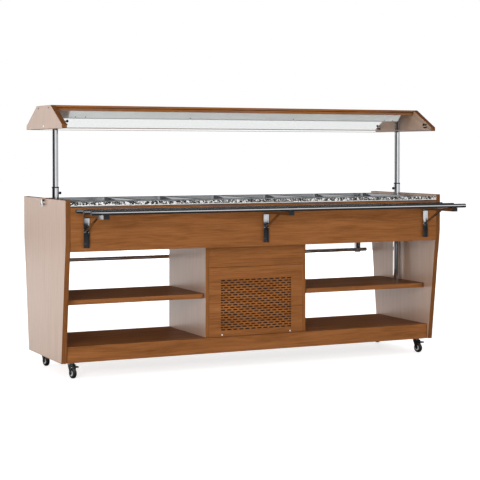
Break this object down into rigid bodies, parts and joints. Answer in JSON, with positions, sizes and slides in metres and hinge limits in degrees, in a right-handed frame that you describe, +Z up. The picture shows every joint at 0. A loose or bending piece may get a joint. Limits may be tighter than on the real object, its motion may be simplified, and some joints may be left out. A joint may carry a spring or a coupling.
{
  "type": "mobile salad bar",
  "caption": "Chilled salad bar on casters: granite top with a well for food pans, sliding canopy with glass shields and lamp, folding tray slides, open shelves.",
  "frame": {"origin": "on the floor below the middle of the cabinet, between the four casters", "axes": "+X along the bar to the right seen from the customer side, +Y to the rear, +Z up"},
  "size_m": [2.226, 1.0635, 1.38],
  "materials": {
    "panel_wood": "matt laminate with a faint upright grain",
    "warm_wood": "satin laminate with a lengthwise grain",
    "granite": "polished, speckled",
    "steel_sheet": "brushed",
    "pan_steel": "smooth, bright",
    "bright_tube": "polished",
    "slide_steel": "satin",
    "insulation": "thin coated skin round rigid foam",
    "black_plastic": "matt",
    "dark_paint": "satin",
    "white_paint": "satin, pale",
    "lamp": "opal",
    "clear_glass": "clear",
    "rubber_tyre": "matt",
    "copper": "drawn tube",
    "screw_steel": "polished"
  },
  "bodies": {
    "cabinet": {"end_panel_left": "panel_wood", "end_panel_right": "panel_wood", "fascia_front": "warm_wood", "fascia_rear": "warm_wood", "worktop": "granite", "well": "steel_sheet", "well_jacket": "insulation", "deck_boards": "warm_wood", "plinths": "warm_wood", "mid_shelves": "warm_wood", "partitions": "panel_wood", "upper_panel_front": "warm_wood", "service_panel_front": "warm_wood", "upper_panel_rear": "warm_wood", "service_panel_rear": "warm_wood", "panel_fasteners": "screw_steel", "post_guides": "bright_tube", "post_collars": "bright_tube", "post_bushes": "black_plastic", "slide_brackets": "slide_steel", "caster_plates": "dark_paint", "compressor": "dark_paint", "condenser": "steel_sheet", "evaporator": "copper", "control_unit": "dark_paint"},
    "canopy": {"canopy_cap_left": "panel_wood", "canopy_cap_right": "panel_wood", "canopy_roof": "warm_wood", "light_housing": "white_paint", "lamp_tube": "lamp", "glass_front": "clear_glass", "glass_rear": "clear_glass", "canopy_fittings": "black_plastic", "canopy_posts": "bright_tube"},
    "left_thumb_knob": {"thumb_knob_left": "dark_paint"},
    "right_thumb_knob": {"thumb_knob_right": "dark_paint"},
    "pan_1_body": {"pan_1": "pan_steel"},
    "pan_2_body": {"pan_2": "pan_steel"},
    "pan_3_body": {"pan_3": "pan_steel"},
    "pan_4_body": {"pan_4": "pan_steel"},
    "pan_5_body": {"pan_5": "pan_steel"},
    "pan_6_body": {"pan_6": "pan_steel"},
    "front_slide": {"front_slide_tubes": "bright_tube", "front_slide_arms": "slide_steel"},
    "front_struts": {"front_slide_struts": "slide_steel"},
    "rear_slide": {"rear_slide_tubes": "bright_tube", "rear_slide_arms": "slide_steel"},
    "rear_struts": {"rear_slide_struts": "slide_steel"},
    "caster_1": {"caster_fork_1": "dark_paint"},
    "caster_2": {"caster_fork_2": "dark_paint"},
    "caster_3": {"caster_fork_3": "dark_paint"},
    "caster_4": {"caster_fork_4": "dark_paint"},
    "wheel_1": {"caster_wheel_1": "rubber_tyre"},
    "wheel_2": {"caster_wheel_2": "rubber_tyre"},
    "wheel_3": {"caster_wheel_3": "rubber_tyre"},
    "wheel_4": {"caster_wheel_4": "rubber_tyre"},
    "brake_1": {"brake_pedal_1": "black_plastic"},
    "brake_2": {"brake_pedal_2": "black_plastic"},
    "fan": {"fan_rotor": "black_plastic"},
    "rocker": {"rocker_switch": "black_plastic"}
  },
  "joints": [
    {"name": "canopy_lift", "type": "slide", "parent": "cabinet", "child": "canopy", "axis": [0, 0, 1], "range_m": [-0.35, 0]},
    {"name": "left_knob_turn", "type": "hinge", "parent": "cabinet", "child": "left_thumb_knob", "pos_m": [-1.038, 0, 0.929], "axis": [1, 0, 0], "range_deg": [-360, 0]},
    {"name": "right_knob_turn", "type": "hinge", "parent": "cabinet", "child": "right_thumb_knob", "pos_m": [1.038, 0, 0.929], "axis": [1, 0, 0], "range_deg": [0, 360]},
    {"name": "pan_1_lift", "type": "slide", "parent": "cabinet", "child": "pan_1_body", "axis": [0, 0, 1], "range_m": [0, 0.16]},
    {"name": "pan_2_lift", "type": "slide", "parent": "cabinet", "child": "pan_2_body", "axis": [0, 0, 1], "range_m": [0, 0.16]},
    {"name": "pan_3_lift", "type": "slide", "parent": "cabinet", "child": "pan_3_body", "axis": [0, 0, 1], "range_m": [0, 0.16]},
    {"name": "pan_4_lift", "type": "slide", "parent": "cabinet", "child": "pan_4_body", "axis": [0, 0, 1], "range_m": [0, 0.16]},
    {"name": "pan_5_lift", "type": "slide", "parent": "cabinet", "child": "pan_5_body", "axis": [0, 0, 1], "range_m": [0, 0.16]},
    {"name": "pan_6_lift", "type": "slide", "parent": "cabinet", "child": "pan_6_body", "axis": [0, 0, 1], "range_m": [0, 0.16]},
    {"name": "front_slide_fold", "type": "hinge", "parent": "cabinet", "child": "front_slide", "pos_m": [0, -0.367, 0.819], "axis": [1, 0, 0], "range_deg": [0, 90]},
    {"name": "front_struts_fold", "type": "hinge", "parent": "cabinet", "child": "front_struts", "pos_m": [0, -0.362, 0.743], "axis": [1, 0, 0], "range_deg": [0, 117]},
    {"name": "rear_slide_fold", "type": "hinge", "parent": "cabinet", "child": "rear_slide", "pos_m": [0, 0.367, 0.819], "axis": [1, 0, 0], "range_deg": [0, 90]},
    {"name": "rear_struts_fold", "type": "hinge", "parent": "cabinet", "child": "rear_struts", "pos_m": [0, 0.362, 0.743], "axis": [1, 0, 0], "range_deg": [0, 117]},
    {"name": "caster_1_swivel", "type": "hinge", "parent": "cabinet", "child": "caster_1", "pos_m": [-1.03, -0.222, 0.069], "axis": [0, 0, 1], "continuous": true},
    {"name": "caster_2_swivel", "type": "hinge", "parent": "cabinet", "child": "caster_2", "pos_m": [1.03, -0.222, 0.069], "axis": [0, 0, 1], "continuous": true},
    {"name": "caster_3_swivel", "type": "hinge", "parent": "cabinet", "child": "caster_3", "pos_m": [-1.03, 0.222, 0.069], "axis": [0, 0, 1], "continuous": true},
    {"name": "caster_4_swivel", "type": "hinge", "parent": "cabinet", "child": "caster_4", "pos_m": [1.03, 0.222, 0.069], "axis": [0, 0, 1], "continuous": true},
    {"name": "wheel_1_roll", "type": "hinge", "parent": "caster_1", "child": "wheel_1", "pos_m": [-1.02667, -0.23765, 0.027], "axis": [0.9781, 0.2079, 0], "continuous": true},
    {"name": "wheel_2_roll", "type": "hinge", "parent": "caster_2", "child": "wheel_2", "pos_m": [1.03333, -0.23765, 0.027], "axis": [0.9781, 0.2079, 0], "continuous": true},
    {"name": "wheel_3_roll", "type": "hinge", "parent": "caster_3", "child": "wheel_3", "pos_m": [-1.02667, 0.20635, 0.027], "axis": [0.9781, 0.2079, 0], "continuous": true},
    {"name": "wheel_4_roll", "type": "hinge", "parent": "caster_4", "child": "wheel_4", "pos_m": [1.03333, 0.20635, 0.027], "axis": [0.9781, 0.2079, 0], "continuous": true},
    {"name": "brake_1_press", "type": "hinge", "parent": "caster_1", "child": "brake_1", "pos_m": [-1.02875, -0.22787, 0.0602], "axis": [0.9781, 0.2079, 0], "range_deg": [0, 12]},
    {"name": "brake_2_press", "type": "hinge", "parent": "caster_2", "child": "brake_2", "pos_m": [1.03125, -0.22787, 0.0602], "axis": [0.9781, 0.2079, 0], "range_deg": [0, 12]},
    {"name": "fan_spin", "type": "hinge", "parent": "cabinet", "child": "fan", "pos_m": [-0.12, -0.121, 0.309], "axis": [0, 1, 0], "continuous": true},
    {"name": "rocker_press", "type": "hinge", "parent": "cabinet", "child": "rocker", "pos_m": [0.2, 0.248, 0.5845], "axis": [1, 0, 0], "range_deg": [-16, 0]}
  ],
  "couplings": [
    {"joint": "front_struts_fold", "follows": "front_slide_fold", "ratio": 1.3},
    {"joint": "rear_struts_fold", "follows": "rear_slide_fold", "ratio": 1.3}
  ]
}
